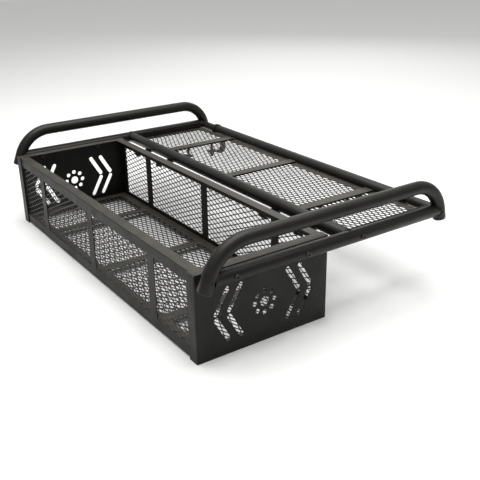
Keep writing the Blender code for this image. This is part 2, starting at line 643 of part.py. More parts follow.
def move_to_base():
    """Puts the origin under the middle of the bounding box, level with its lowest point."""
    graph = bpy.context.evaluated_depsgraph_get()
    corners = [Vector(corner) for made in bpy.data.objects if not made.hide_render
               for corner in made.evaluated_get(graph).bound_box]
    low = [min(corner[axis] for corner in corners) for axis in range(3)]
    high = [max(corner[axis] for corner in corners) for axis in range(3)]
    shift = Matrix.Translation((-(low[0] + high[0]) / 2, -(low[1] + high[1]) / 2, -low[2]))
    for made in bpy.data.objects:
        made.data.transform(shift)
    print("shift", [round(value, 5) for value in shift.translation])


tubes()
end_plugs()
deck()
rack_clamps()
side_plates()
end_panels()
floor()
hanger_brackets()
rail_fasteners()
move_to_base()
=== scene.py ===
# %% [markdown]
# A rear rack with a drop basket for a quad bike. The real one is welded from bent steel tube, folded
# sheet and expanded metal, then powder coated black all over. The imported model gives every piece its
# place and size. This script rebuilds the pieces that show at their full detail around it: round
# tubes with their welds, real diamond mesh, folded sheets with soft bends, and the coating itself.

# %% The fixed frame and its box
import json
import math

import bmesh
import bpy
from mathutils import Matrix, Quaternion, Vector

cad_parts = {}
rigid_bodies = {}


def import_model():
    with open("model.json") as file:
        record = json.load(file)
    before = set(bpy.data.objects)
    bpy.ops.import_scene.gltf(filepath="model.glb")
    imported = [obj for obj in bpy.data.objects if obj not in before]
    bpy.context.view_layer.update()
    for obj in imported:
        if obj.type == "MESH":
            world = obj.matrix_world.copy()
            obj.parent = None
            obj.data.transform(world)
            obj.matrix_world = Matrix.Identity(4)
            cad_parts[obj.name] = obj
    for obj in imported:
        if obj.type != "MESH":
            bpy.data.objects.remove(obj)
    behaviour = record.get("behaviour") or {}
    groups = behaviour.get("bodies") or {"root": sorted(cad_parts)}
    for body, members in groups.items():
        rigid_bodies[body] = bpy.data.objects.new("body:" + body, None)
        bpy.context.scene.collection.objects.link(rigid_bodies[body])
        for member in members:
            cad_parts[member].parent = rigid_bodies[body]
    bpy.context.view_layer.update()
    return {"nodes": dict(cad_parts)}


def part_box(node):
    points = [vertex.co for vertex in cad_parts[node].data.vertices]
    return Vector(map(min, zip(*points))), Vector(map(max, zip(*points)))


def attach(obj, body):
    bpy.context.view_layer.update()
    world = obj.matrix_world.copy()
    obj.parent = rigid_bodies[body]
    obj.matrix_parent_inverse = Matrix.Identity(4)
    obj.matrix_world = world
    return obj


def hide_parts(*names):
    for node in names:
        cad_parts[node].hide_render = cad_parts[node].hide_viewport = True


for old in list(bpy.data.objects):
    bpy.data.objects.remove(old, do_unlink=True)
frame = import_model()

# %% [markdown]
# The driving dimensions. Where a value can be read from a node's box it is, so that a piece always
# lands where its node is. A bend can't be read from a box, so the handle's bends are given here.

# %% Driving dimensions
plate_low, plate_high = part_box("side_plate_right")
rail_low, rail_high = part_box("side_rail_right")
front_low, front_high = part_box("front_cross_tube")
rear_low, rear_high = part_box("rear_cross_tube")
handle_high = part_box("side_handle_right")[1]

RIM_Z = plate_high.z
PLATE_X = plate_high.x
BASKET_REAR_Y, BASKET_FRONT_Y = plate_low.y, plate_high.y
BASKET_MID_Y = (BASKET_REAR_Y + BASKET_FRONT_Y) / 2
TUBE_RADIUS = (rail_high.z - rail_low.z) / 2
TUBE_WALL = 0.0016
TUBE_RIM = 0.0005                         # how far a sawn tube end is rounded
RAIL_X, RAIL_Z = (rail_low.x + rail_high.x) / 2, (rail_low.z + rail_high.z) / 2
FRONT_TUBE_Y, REAR_TUBE_Y = (front_low.y + front_high.y) / 2, (rear_low.y + rear_high.y) / 2
HANDLE_Z = handle_high.z - TUBE_RADIUS
LEG_END_Z = RIM_Z - 0.0300
REAR_CORNER_Y, REAR_LEAN, REAR_BEND = BASKET_REAR_Y + 0.0465, math.radians(21.7), 0.100
FRONT_CORNER_Y, FRONT_LEAN, FRONT_BEND = FRONT_TUBE_Y - 0.0079, math.radians(13.4), 0.088
SIDES = (("right", 1), ("left", -1))
ENDS = (("rear", REAR_CORNER_Y, REAR_LEAN, -1), ("front", FRONT_CORNER_Y, FRONT_LEAN, 1))
print("tube diameter, mm:", round(2000 * TUBE_RADIUS, 2), "rail height, mm:", round(1000 * RAIL_Z, 1))

# %% [markdown]
# Nearly every finish here is a coating on steel, so the materials share a few parts: a colour in sRGB
# hex made linear, a function that adds a node with its settings and links, and an empty material to
# start from. Sockets that share a name are given by number, such as _6 for the seventh.

# %% Colour and node helpers
def linear(code):
    """An sRGB hex colour as linear RGBA."""
    values = [int(code[k:k + 2], 16) / 255 for k in (0, 2, 4)]
    return (*[v / 12.92 if v <= 0.04045 else ((v + 0.055) / 1.055) ** 2.4 for v in values], 1.0)


def add(tree, kind, settings=None, **inputs):
    """Adds a node, with its settings and its inputs: numbers and colours, or sockets to link."""
    node = tree.nodes.new(kind)
    for name, value in (settings or {}).items():
        setattr(node, name, value)
    for name, value in inputs.items():
        socket = node.inputs[int(name[1:])] if name[0] == "_" else node.inputs[name.replace("_", " ")]
        if isinstance(value, bpy.types.NodeSocket):
            tree.links.new(value, socket)
        else:
            socket.default_value = value
    return node


def blank_material(name):
    """A material, its empty tree, and the object's own coordinates for its patterns."""
    material = bpy.data.materials.new(name)
    material.use_nodes = True
    tree = material.node_tree
    tree.nodes.clear()
    return material, tree, add(tree, "ShaderNodeTexCoord").outputs["Object"]


print("hex 808080 is", round(linear("808080")[0], 4), "in linear light")

# %% [markdown]
# Black powder coat on steel. The powder is sprayed on dry and melts in an oven, which leaves a tough
# satin skin with a fine pebble, like the peel of an orange. Faces that look up are mixed towards a paler
# colour, in clouds broken up by grit. That is partly a thin film of dust and partly a painted highlight
# for the overhead light falling on top faces. Handling leaves paler scuffs. The real pebble is about half
# a millimetre across. It is drawn at three millimetres as well, faintly, so that it still shows from two
# metres away.

# %% Powder coat
PEBBLE = 0.0008
COARSE_PEBBLE = 0.003
CLOUD = 0.045                             # across a patch of thicker dust
GRIT = 0.004
SCUFFS_PER_METRE = (70, 160, 110)         # uneven, so that scuffs are 6 to 14 mm long
SCUFF_TURN = (0.4, 0.2, 0.9)
SCUFF_COLOUR = "4A4946"


def powder_coat(name, colour, dusty_and_top_lit, roughness, scuffs):
    material, tree, place = blank_material(name)
    cloud = add(tree, "ShaderNodeTexNoise", Vector=place, Scale=1 / CLOUD, Detail=5.0, Roughness=0.6)
    speck = add(tree, "ShaderNodeTexNoise", Vector=place, Scale=1 / GRIT, Detail=3.0, Roughness=0.7)
    up = add(tree, "ShaderNodeSeparateXYZ", Vector=add(tree, "ShaderNodeNewGeometry").outputs["Normal"])
    facing_up = add(tree, "ShaderNodeMapRange", Value=up.outputs["Z"], From_Min=0.35, From_Max=1.0)
    film = add(tree, "ShaderNodeMapRange", Value=cloud.outputs["Fac"], From_Min=0.30, From_Max=0.72,
               To_Min=0.45, To_Max=1.0)
    grit = add(tree, "ShaderNodeMapRange", Value=speck.outputs["Fac"], From_Min=0.40, From_Max=0.66,
               To_Min=0.75, To_Max=1.0)
    # the paler mix on faces that look up is partly dust and partly a painted highlight for the overhead light
    dust_and_top_light = add(tree, "ShaderNodeMath", {"operation": "MULTIPLY"}, _0=facing_up.outputs[0], _1=film.outputs[0])
    dust_and_top_light = add(tree, "ShaderNodeMath", {"operation": "MULTIPLY"}, _0=dust_and_top_light.outputs[0], _1=grit.outputs[0])
    base = add(tree, "ShaderNodeMix", {"data_type": "RGBA"}, _0=dust_and_top_light.outputs[0], _6=linear(colour),
               _7=linear(dusty_and_top_lit))
    stretched = add(tree, "ShaderNodeMapping", Vector=place, Rotation=SCUFF_TURN, Scale=SCUFFS_PER_METRE)
    scratch = add(tree, "ShaderNodeTexNoise", Vector=stretched.outputs[0], Scale=1.0, Detail=2.0)
    scuff = add(tree, "ShaderNodeMapRange", Value=scratch.outputs["Fac"], From_Min=0.70, From_Max=0.86,
                To_Min=0.0, To_Max=scuffs)
    base = add(tree, "ShaderNodeMix", {"data_type": "RGBA"}, _0=scuff.outputs[0], _6=base.outputs[2],
               _7=linear(SCUFF_COLOUR))
    rough = add(tree, "ShaderNodeMapRange", Value=cloud.outputs["Fac"], From_Min=0.3, From_Max=0.7,
                To_Min=roughness - 0.05, To_Max=roughness + 0.07)
    fine = add(tree, "ShaderNodeTexNoise", Vector=place, Scale=1 / PEBBLE, Detail=2.0)
    coarse = add(tree, "ShaderNodeTexNoise", Vector=place, Scale=1 / COARSE_PEBBLE, Detail=1.0)
    peel = add(tree, "ShaderNodeBump", Strength=0.10, Distance=0.0004, Height=fine.outputs["Fac"])
    peel = add(tree, "ShaderNodeBump", Strength=0.07, Distance=0.001, Height=coarse.outputs["Fac"],
               Normal=peel.outputs[0])
    shader = add(tree, "ShaderNodeBsdfPrincipled", Base_Color=base.outputs[2], Roughness=rough.outputs[0],
                 Normal=peel.outputs[0], Metallic=0.0, IOR=1.5, Specular_IOR_Level=0.26)
    add(tree, "ShaderNodeOutputMaterial", Surface=shader.outputs[0])
    return material


# each coat's second colour is dust and a painted highlight for the overhead light together, shown on faces
# that look up
COAT_TUBE = powder_coat("black powder coat on tube", "100F0B", "2B2A25", 0.40, 0.5)
COAT_SHEET = powder_coat("black powder coat on folded sheet", "0C0B08", "4C4941", 0.50, 0.7)
COAT_MESH = powder_coat("black powder coat on expanded metal", "14130F", "3D3C37", 0.46, 0.4)
COAT_WELD = powder_coat("black powder coat over weld bead", "12110E", "33322E", 0.34, 0.2)
print("pebbles across a tube:", round(2 * TUBE_RADIUS / PEBBLE))

# %% [markdown]
# The bolts and nuts are steel with black zinc plating. It is a thin passivated skin, so the metal's
# own reflection comes through it dark grey, with faint colour clouds and turning marks.

# %% Black zinc
ZINC_CLOUD = 0.006
TURNING_MARK = 0.0006


def black_zinc():
    material, tree, place = blank_material("black zinc plated steel")
    cloud = add(tree, "ShaderNodeTexNoise", Vector=place, Scale=1 / ZINC_CLOUD, Detail=4.0)
    tint = add(tree, "ShaderNodeMapRange", Value=cloud.outputs["Fac"], From_Min=0.35, From_Max=0.65)
    base = add(tree, "ShaderNodeMix", {"data_type": "RGBA"}, _0=tint.outputs[0], _6=linear("2A2A2C"),
               _7=linear("45433F"))
    rough = add(tree, "ShaderNodeMapRange", Value=cloud.outputs["Fac"], From_Min=0.3, From_Max=0.7,
                To_Min=0.30, To_Max=0.46)
    marks = add(tree, "ShaderNodeTexNoise", Vector=place, Scale=1 / TURNING_MARK, Detail=2.0)
    bump = add(tree, "ShaderNodeBump", Strength=0.15, Distance=0.0002, Height=marks.outputs["Fac"])
    shader = add(tree, "ShaderNodeBsdfPrincipled", Base_Color=base.outputs[2], Roughness=rough.outputs[0],
                 Normal=bump.outputs[0], Metallic=0.85)
    add(tree, "ShaderNodeOutputMaterial", Surface=shader.outputs[0])
    return material


BLACK_ZINC = black_zinc()

# %% [markdown]
# The plugs in the handles' ends are moulded in black polyethylene: a little waxy, with the fine
# spark-eroded grain of the mould, about half a millimetre across.

# %% Moulded plastic
MOULD_GRAIN = 0.0006
PLASTIC_CLOUD = 0.02


def moulded_plastic():
    material, tree, place = blank_material("moulded black polyethylene")
    grain = add(tree, "ShaderNodeTexVoronoi", Vector=place, Scale=1 / MOULD_GRAIN)
    cloud = add(tree, "ShaderNodeTexNoise", Vector=place, Scale=1 / PLASTIC_CLOUD, Detail=3.0)
    base = add(tree, "ShaderNodeMix", {"data_type": "RGBA"}, _0=cloud.outputs["Fac"], _6=linear("121212"),
               _7=linear("1C1B1A"))
    bump = add(tree, "ShaderNodeBump", Strength=0.2, Distance=0.0003, Height=grain.outputs["Distance"])
    rough = add(tree, "ShaderNodeMapRange", Value=cloud.outputs["Fac"], From_Min=0.3, From_Max=0.7,
                To_Min=0.48, To_Max=0.62)
    shader = add(tree, "ShaderNodeBsdfPrincipled", Base_Color=base.outputs[2], Roughness=rough.outputs[0],
                 Normal=bump.outputs[0], IOR=1.51)
    add(tree, "ShaderNodeOutputMaterial", Surface=shader.outputs[0])
    return material


PLASTIC = moulded_plastic()

# %% [markdown]
# Every piece goes through the same steps. Its bmesh becomes an object that shades smoothly up to an
# angle, rides on the rack and stands for its CAD node. Modifiers then add what sheet and tube have
# in common, a wall thickness and softened rims, and are made part of the mesh.

# %% Pieces that ride on the frame
SMOOTH_ANGLE = 38
CUT_EDGE_ANGLE = math.radians(50)         # edges sharper than this are cut edges


def shown(name, bm):
    """A bmesh as an object in the scene."""
    mesh = bpy.data.meshes.new(name)
    bm.to_mesh(mesh)
    bm.free()
    made = bpy.data.objects.new(name, mesh)
    bpy.context.scene.collection.objects.link(made)
    return made


def piece(name, bm, material, *nodes, smooth_angle=SMOOTH_ANGLE):
    """A bmesh as a piece that rides on the rack and stands for its CAD nodes."""
    made = shown(name, bm)
    made.data.materials.append(material)
    made.data.shade_smooth()
    made.data.set_sharp_from_angle(angle=math.radians(smooth_angle))
    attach(made, "root")
    if nodes:
        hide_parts(*nodes)
    return made


def settle(made, smooth_angle=SMOOTH_ANGLE):
    """Makes a piece's modifiers part of its mesh."""
    graph = bpy.context.evaluated_depsgraph_get()
    graph.update()
    settled = bpy.data.meshes.new_from_object(made.evaluated_get(graph))
    made.modifiers.clear()
    made.data = settled
    settled.shade_smooth()
    settled.set_sharp_from_angle(angle=math.radians(smooth_angle))
    return made


def thicken(made, thickness):
    """Gives a skin a wall that grows inwards."""
    wall = made.modifiers.new("wall", "SOLIDIFY")
    wall.thickness, wall.offset, wall.use_even_offset = thickness, -1, True


def soften_cuts(made, width):
    """Rounds the cut edges of a wall or a sheet."""
    rim = made.modifiers.new("rim", "BEVEL")
    rim.width, rim.segments, rim.limit_method, rim.angle_limit = width, 2, "ANGLE", CUT_EDGE_ANGLE


def cut_with(made, cutter):
    """Cuts one object out of another."""
    cut = made.modifiers.new("cut", "BOOLEAN")
    cut.operation, cut.solver, cut.object = "DIFFERENCE", "EXACT", cutter


def new_verts(grown):
    return [item for item in grown["geom"] if isinstance(item, bmesh.types.BMVert)]


def soften(bm, width, segments):
    """Rounds the sharp edges of a solid."""
    limit = math.radians(30)
    sharp = [e for e in bm.edges if len(e.link_faces) == 2 and e.calc_face_angle() > limit]
    bmesh.ops.bevel(bm, geom=sharp, offset=width, offset_type="OFFSET", affect="EDGES", segments=segments,
                    profile=0.5, clamp_overlap=True, material=-1)


def block_into(bm, low, high):
    low, high = Vector(low), Vector(high)
    place = Matrix.Translation((low + high) / 2) @ Matrix.Diagonal((*(high - low), 1.0))
    bmesh.ops.create_cube(bm, size=1.0, matrix=place)


def rod_into(bm, start, end, radius, sides):
    start, end = Vector(start), Vector(end)
    turn = (end - start).to_track_quat("Z", "Y").to_matrix().to_4x4()
    bmesh.ops.create_cone(
        bm, cap_ends=True, segments=sides, radius1=radius, radius2=radius,
        depth=(end - start).length, matrix=Matrix.Translation((start + end) / 2) @ turn)


print("CAD nodes to stand for or to finish:", len(frame["nodes"]))

# %% [markdown]
# The tubes. Each handle is one length of 1.25 inch tube with two bends, so a ring is drawn out along
# the rear leg, spun round the bend, drawn along the top, and so on. A wall thickness turned inwards
# leaves the leg's open end, which its plug closes. The straight tubes are drawn out the same way.

# %% Side handles
def swept_handle(bm, x, sides=40, steps=16):
    """Draws a ring up the rear leg, along the top and down the front leg."""
    lean = Vector((0, math.sin(REAR_LEAN), math.cos(REAR_LEAN)))
    rear_turn, front_turn = math.pi / 2 - REAR_LEAN, math.pi / 2 - FRONT_LEAN
    rear_reach, front_reach = REAR_BEND * math.tan(rear_turn / 2), FRONT_BEND * math.tan(front_turn / 2)
    drop = HANDLE_Z - LEG_END_Z
    at = Vector((x, REAR_CORNER_Y, HANDLE_Z)) - lean * (drop / math.cos(REAR_LEAN))
    turn = lean.to_track_quat("Z", "X").to_matrix().to_4x4()
    bmesh.ops.create_circle(
        bm, cap_ends=False, segments=sides, radius=TUBE_RADIUS, matrix=Matrix.Translation(at) @ turn)
    edges = bm.edges[:]
    heading = lean
    moves = (("run", drop / math.cos(REAR_LEAN) - rear_reach, 0), ("bend", REAR_BEND, rear_turn),
             ("run", FRONT_CORNER_Y - REAR_CORNER_Y - rear_reach - front_reach, 0),
             ("bend", FRONT_BEND, front_turn), ("run", drop / math.cos(FRONT_LEAN) - front_reach, 0))
    for kind, size, angle in moves:
        if kind == "run":
            grown = bmesh.ops.extrude_edge_only(bm, edges=edges)
            bmesh.ops.translate(bm, vec=heading * size, verts=new_verts(grown))
            edges = [item for item in grown["geom"] if isinstance(item, bmesh.types.BMEdge)]
            at = at + heading * size
        else:
            centre = at + Vector((0, heading.z, -heading.y)) * size
            grown = bmesh.ops.spin(bm, geom=edges, cent=centre, axis=(-1, 0, 0), angle=angle, steps=steps,
                                   dvec=(0, 0, 0), use_duplicate=False)
            edges = [item for item in grown["geom_last"] if isinstance(item, bmesh.types.BMEdge)]
            turned = Matrix.Rotation(-angle, 3, "X")
            at, heading = centre + turned @ (at - centre), turned @ heading
    bmesh.ops.recalc_face_normals(bm, faces=bm.faces)


def walled(made, thickness):
    """Turns a tube's skin into a wall with softened rims."""
    thicken(made, thickness)
    soften_cuts(made, TUBE_RIM)
    return settle(made)


for side, sign in SIDES:
    bm = bmesh.new()
    swept_handle(bm, sign * RAIL_X)
    handle = walled(piece("handle_" + side, bm, COAT_TUBE, "side_handle_" + side), TUBE_WALL)
print("handle faces:", len(handle.data.polygons))

# %% Straight tubes
RAIL_STOP = 0.010                         # a rail's end stops this far from the leg's middle
TUBE_STOP = 0.011                         # a cross tube's end stops this far from the rail's middle
STUB_INSIDE = 0.030                       # length of the stub that is pushed into the front tube
CLEARANCE = 0.0003


def open_tube(name, start, end, radius, node, wall=TUBE_WALL, sides=40):
    """A straight length of tube in the place of a CAD node."""
    start, along = Vector(start), Vector(end) - Vector(start)
    turn = along.to_track_quat("Z", "Y").to_matrix().to_4x4()
    bm = bmesh.new()
    bmesh.ops.create_circle(
        bm, cap_ends=False, segments=sides, radius=radius, matrix=Matrix.Translation(start) @ turn)
    grown = bmesh.ops.extrude_edge_only(bm, edges=bm.edges[:])
    bmesh.ops.translate(bm, vec=along, verts=new_verts(grown))
    bmesh.ops.recalc_face_normals(bm, faces=bm.faces)
    for face in bm.faces:
        spoke = face.calc_center_median() - start
        spoke -= along * (spoke.dot(along) / along.length_squared)
        if face.normal.dot(spoke) < 0:
            face.normal_flip()
    return walled(piece(name, bm, COAT_TUBE, node), wall)


def on_leg(z, corner_y, lean, sense):
    """Y of a handle leg's centre line at a height."""
    return corner_y + sense * (HANDLE_Z - z) * math.tan(lean)


rail_ends = [on_leg(RAIL_Z, corner, lean, sense) for _, corner, lean, sense in ENDS]
stub_low, stub_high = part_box("front_tube_stub_right")
stub_radius = (stub_high.z - stub_low.z) / 2
for side, sign in SIDES:
    x = sign * RAIL_X
    open_tube("rail_" + side, (x, rail_ends[0] + RAIL_STOP, RAIL_Z),
              (x, rail_ends[1] - RAIL_STOP, RAIL_Z), TUBE_RADIUS, "side_rail_" + side)
    open_tube("tube_stub_" + side, (sign * (front_high.x - STUB_INSIDE), FRONT_TUBE_Y, RAIL_Z),
              (sign * (RAIL_X - TUBE_STOP), FRONT_TUBE_Y, RAIL_Z), stub_radius, "front_tube_stub_" + side)
    low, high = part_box("front_tube_collar_" + side)
    collar_radius = (high.z - low.z) / 2
    open_tube("tube_collar_" + side, (low.x, FRONT_TUBE_Y, RAIL_Z), (high.x, FRONT_TUBE_Y, RAIL_Z),
              collar_radius, "front_tube_collar_" + side, wall=collar_radius - stub_radius - CLEARANCE)
open_tube("rear_tube", (TUBE_STOP - RAIL_X, REAR_TUBE_Y, RAIL_Z),
          (RAIL_X - TUBE_STOP, REAR_TUBE_Y, RAIL_Z), TUBE_RADIUS, "rear_cross_tube")
open_tube("front_tube", (front_low.x, FRONT_TUBE_Y, RAIL_Z), (front_high.x, FRONT_TUBE_Y, RAIL_Z),
          TUBE_RADIUS, "front_cross_tube")
print("rails run from y", [round(y, 4) for y in rail_ends])

# %% [markdown]
# The welds. A bead follows the line where one round tube meets another. That line has a formula: a
# point on one tube's skin is moved along its axis until it is one radius from the other's axis. The
# bead is a poly curve with a round section along that line, and its radius swells and shrinks every
# few millimetres, like the stacked ripples that the welder leaves.

# %% Weld beads
BEAD_RADIUS = 0.0021
BEAD_POINTS = 60                          # round one joint; a ripple is two points long
RIPPLE_DIP = 0.86


def bead(name, points):
    """A rippled bead along a closed line of points, as a mesh piece."""
    line = bpy.data.curves.new(name, "CURVE")
    line.dimensions = "3D"
    line.bevel_depth = BEAD_RADIUS
    line.bevel_resolution = 2
    spline = line.splines.new("POLY")
    spline.points.add(len(points) - 1)
    spline.use_cyclic_u = True
    for index, place in enumerate(points):
        spline.points[index].co = (*place, 1)
        spline.points[index].radius = (1.0, RIPPLE_DIP)[index % 2]
    drawn = bpy.data.objects.new(name, line)
    bpy.context.scene.collection.objects.link(drawn)
    graph = bpy.context.evaluated_depsgraph_get()
    mesh = bpy.data.meshes.new_from_object(drawn.evaluated_get(graph))
    bpy.data.objects.remove(drawn, do_unlink=True)
    bm = bmesh.new()
    bm.from_mesh(mesh)
    bmesh.ops.remove_doubles(bm, verts=bm.verts, dist=1e-6)
    bmesh.ops.recalc_face_normals(bm, faces=bm.faces)
    return piece(name, bm, COAT_WELD, smooth_angle=60)


def meeting_line(origin, along, radius, other, other_along, other_radius, toward):
    """Where the tube (origin, along, radius) meets the side of the other tube, nearest toward."""
    along, other_along = Vector(along).normalized(), Vector(other_along).normalized()
    across = along.orthogonal().normalized()
    third = along.cross(across)
    line = []
    for step in range(BEAD_POINTS):
        turn = math.tau * step / BEAD_POINTS
        spot = Vector(origin) + radius * (across * math.cos(turn) + third * math.sin(turn))
        gap = spot - Vector(other)
        flat_gap = gap - other_along * gap.dot(other_along)
        flat_along = along - other_along * along.dot(other_along)
        a, b = flat_along.dot(flat_along), 2 * flat_along.dot(flat_gap)
        c = flat_gap.dot(flat_gap) - other_radius ** 2
        root = math.sqrt(max(b * b - 4 * a * c, 0.0))
        spots = [spot + along * ((-b + way * root) / (2 * a)) for way in (1, -1)]
        line.append(min(spots, key=lambda s: (s - Vector(toward)).length))
    return line


for side, sign in SIDES:
    x = sign * RAIL_X
    rail_middle = Vector((x, (rail_ends[0] + rail_ends[1]) / 2, RAIL_Z))
    for (end, corner, lean, sense), y in zip(ENDS, rail_ends):
        line = meeting_line((x, y, RAIL_Z), (0, 1, 0), TUBE_RADIUS, (x, corner, HANDLE_Z),
                            (0, sense * math.tan(lean), -1), TUBE_RADIUS, rail_middle)
        bead(f"weld_rail_{end}_{side}", line)
    for name, y, radius in (("rear_tube", REAR_TUBE_Y, TUBE_RADIUS),
                            ("front_tube", FRONT_TUBE_Y, stub_radius)):
        line = meeting_line((x, y, RAIL_Z), (1, 0, 0), radius, (x, 0, RAIL_Z), (0, 1, 0), TUBE_RADIUS,
                            (0, y, RAIL_Z))
        bead(f"weld_{name}_{side}", line)
print("bead ripple, mm:", round(1000 * math.tau * TUBE_RADIUS * 2 / BEAD_POINTS, 1))

# %% [markdown]
# End plugs. Moulded caps close the legs: a thin domed head with a rim, and a shank out of sight. The
# head is a profile spun round the leg's own axis.

# %% Handle end plugs
def turned_into(bm, profile, origin, direction, segments=32):
    """Spins a profile of (distance along the axis, radius) about the axis."""
    points = [bm.verts.new((radius, 0, along)) for along, radius in profile]
    edges = [bm.edges.new(pair) for pair in zip(points, points[1:])]
    bmesh.ops.spin(bm, geom=points + edges, cent=(0, 0, 0), axis=(0, 0, 1), angle=math.tau,
                   steps=segments, dvec=(0, 0, 0), use_merge=True, use_duplicate=False)
    bmesh.ops.remove_doubles(bm, verts=bm.verts, dist=1e-6)
    bmesh.ops.recalc_face_normals(bm, faces=bm.faces)
    turn = Vector(direction).to_track_quat("Z", "Y").to_matrix().to_4x4()
    bm.transform(Matrix.Translation(origin) @ turn)


PLUG_FIT = 0.0004
shank = TUBE_RADIUS - TUBE_WALL - PLUG_FIT
plug_profile = [
    (-0.014, 0), (-0.014, shank - 0.002), (-0.011, shank), (0.0002, shank),
    (0.0002, TUBE_RADIUS - 0.0006), (0.0006, TUBE_RADIUS - 0.0002), (0.0016, TUBE_RADIUS - 0.0002),
    (0.0024, TUBE_RADIUS - 0.0011), (0.0031, TUBE_RADIUS - 0.0035), (0.0035, TUBE_RADIUS - 0.0075),
    (0.0036, 0)]
for side, sign in SIDES:
    for end, corner, lean, sense in ENDS:
        bm = bmesh.new()
        place = (sign * RAIL_X, on_leg(LEG_END_Z, corner, lean, sense), LEG_END_Z)
        turned_into(bm, plug_profile, place, (0, sense * math.sin(lean), -math.cos(lean)))
        piece(f"plug_{end}_{side}", bm, PLASTIC, f"handle_end_plug_{end}_{side}")
print("plug shank, mm:", round(2000 * shank, 1), "across")

# %% [markdown]
# Expanded metal. A steel sheet is slit and pulled open, which leaves diamonds, and each strand comes
# out a little twisted. A grid is squeezed so that its squares become the diamonds. Each diamond is
# then inset by half a strand, its corners are cut off as the slit ends are, and the middle is taken
# out. The edges of each opening tip up and down to twist the strands. Last, it is cut to size.

# %% Expanded metal
LONG_WAY = 0.03175                        # from diamond to diamond along the slits
SHORT_WAY = 0.0140
STRAND = 0.0024
TIP = 0.00045                             # how far a strand's edges tip out of the sheet
MESH_THICKNESS = 0.0012
SLIT_END = 0.0016                         # how far a diamond's corners are cut off
TIP_SPAN = 0.3 * SHORT_WAY                # from an opening's middle to where it is fully tipped
SLIVER = 0.05 * LONG_WAY * SHORT_WAY / 2  # the smallest opening that is kept open


def expanded_metal(name, node, flat_axis):
    """Diamond mesh in the place of a CAD sheet. flat_axis is the axis that the sheet is thin along."""
    low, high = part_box(node)
    short_axis = 3 - flat_axis
    width, height = high.x - low.x, high[short_axis] - low[short_axis]
    cells = math.ceil((width / LONG_WAY + height / SHORT_WAY) / 2) + 1
    bm = bmesh.new()
    bmesh.ops.create_grid(bm, x_segments=2 * cells, y_segments=2 * cells, size=cells)
    squeeze = Matrix(((LONG_WAY / 2, LONG_WAY / 2, 0), (-SHORT_WAY / 2, SHORT_WAY / 2, 0), (0, 0, 1)))
    bmesh.ops.transform(bm, matrix=squeeze.to_4x4(), verts=bm.verts)
    openings = list(bm.faces)
    for face in openings:
        face.material_index = 1
    rings = bmesh.ops.inset_individual(bm, faces=openings, thickness=STRAND / 2, use_even_offset=True)
    for face in rings["faces"]:
        face.material_index = 0
    corners = [vert for vert in bm.verts if any(face.material_index == 1 for face in vert.link_faces)]
    bmesh.ops.bevel(bm, geom=corners, offset=SLIT_END, offset_type="OFFSET", affect="VERTICES", segments=1,
                    profile=0.5, clamp_overlap=True, material=-1)
    openings = [f for f in bm.faces if f.material_index == 1 and f.calc_area() > SLIVER]
    for face in openings:
        middle = face.calc_center_median().y
        for vert in face.verts:
            vert.co.z = TIP * max(-1.0, min(1.0, (middle - vert.co.y) / TIP_SPAN))
    bmesh.ops.delete(bm, geom=openings, context="FACES")
    for face in bm.faces:
        face.material_index = 0
    for across, reach in (((1, 0, 0), width / 2), ((0, 1, 0), height / 2)):
        for way in (1, -1):
            normal = Vector(across) * way
            bmesh.ops.bisect_plane(bm, geom=bm.verts[:] + bm.edges[:] + bm.faces[:], dist=1e-6,
                                   plane_co=normal * reach, plane_no=normal, clear_outer=True)
    bmesh.ops.solidify(bm, geom=bm.faces[:], thickness=MESH_THICKNESS)
    middle = sum(vert.co.z for vert in bm.verts) / len(bm.verts)
    bmesh.ops.translate(bm, vec=(0, 0, -middle), verts=bm.verts)
    bmesh.ops.recalc_face_normals(bm, faces=bm.faces)
    stand = Matrix.Rotation(math.pi / 2, 4, "X") if flat_axis == 1 else Matrix.Identity(4)
    bm.transform(Matrix.Translation((low + high) / 2) @ stand)
    made = piece(name, bm, COAT_MESH, node, smooth_angle=25)
    print(name, "openings:", len(openings), "faces:", len(made.data.polygons))
    return made


expanded_metal("deck_diamond_mesh", "deck_mesh", 2)
expanded_metal("floor_diamond_mesh", "floor_mesh", 2)
expanded_metal("rear_diamond_mesh", "rear_panel_mesh", 1)
expanded_metal("front_diamond_mesh", "front_panel_mesh", 1)

# %% [markdown]
# The folded sheets. The side plates are laser cut and then folded on a press brake, which rounds each
# fold to about the sheet's own thickness. So a flat face is cut along lines, its flanges are drawn
# out of its edges, the folds are bevelled, and then the sheet gets its thickness and its cut-outs.
# Powder builds up on a cut edge and rounds it, so every edge is softened at the end.

# %% Folded sheets
SHEET = 0.0025
PANEL_SHEET = 0.0020
FOLD = 0.0022                             # outer radius of a fold
FOLD_ANGLE = math.radians(40)             # edges sharper than this are folds
CUT_EDGE = 0.00035
RIM_FLANGE = 0.0254
RETURN_FLANGE = 0.030
SAME = 1e-5                               # places this close are the same place


def cut_face(low, high, axes, lines, is_open=None):
    """A flat face between two corners, divided along lines, with the open cells taken out."""
    first, second = axes
    bm = bmesh.new()
    spots = []
    for from_first, from_second in ((low, low), (high, low), (high, high), (low, high)):
        spot = list(low)
        spot[first], spot[second] = from_first[first], from_second[second]
        spots.append(bm.verts.new(spot))
    bm.faces.new(spots)
    for axis, values in zip((first, second), lines):
        for value in values:
            normal, spot = [0, 0, 0], [0, 0, 0]
            normal[axis], spot[axis] = 1, value
            bmesh.ops.bisect_plane(bm, geom=bm.verts[:] + bm.edges[:] + bm.faces[:], dist=1e-7,
                                   plane_co=spot, plane_no=normal)
    if is_open:
        bmesh.ops.delete(bm, geom=[f for f in bm.faces if is_open(f.calc_center_median())], context="FACES")
    return bm


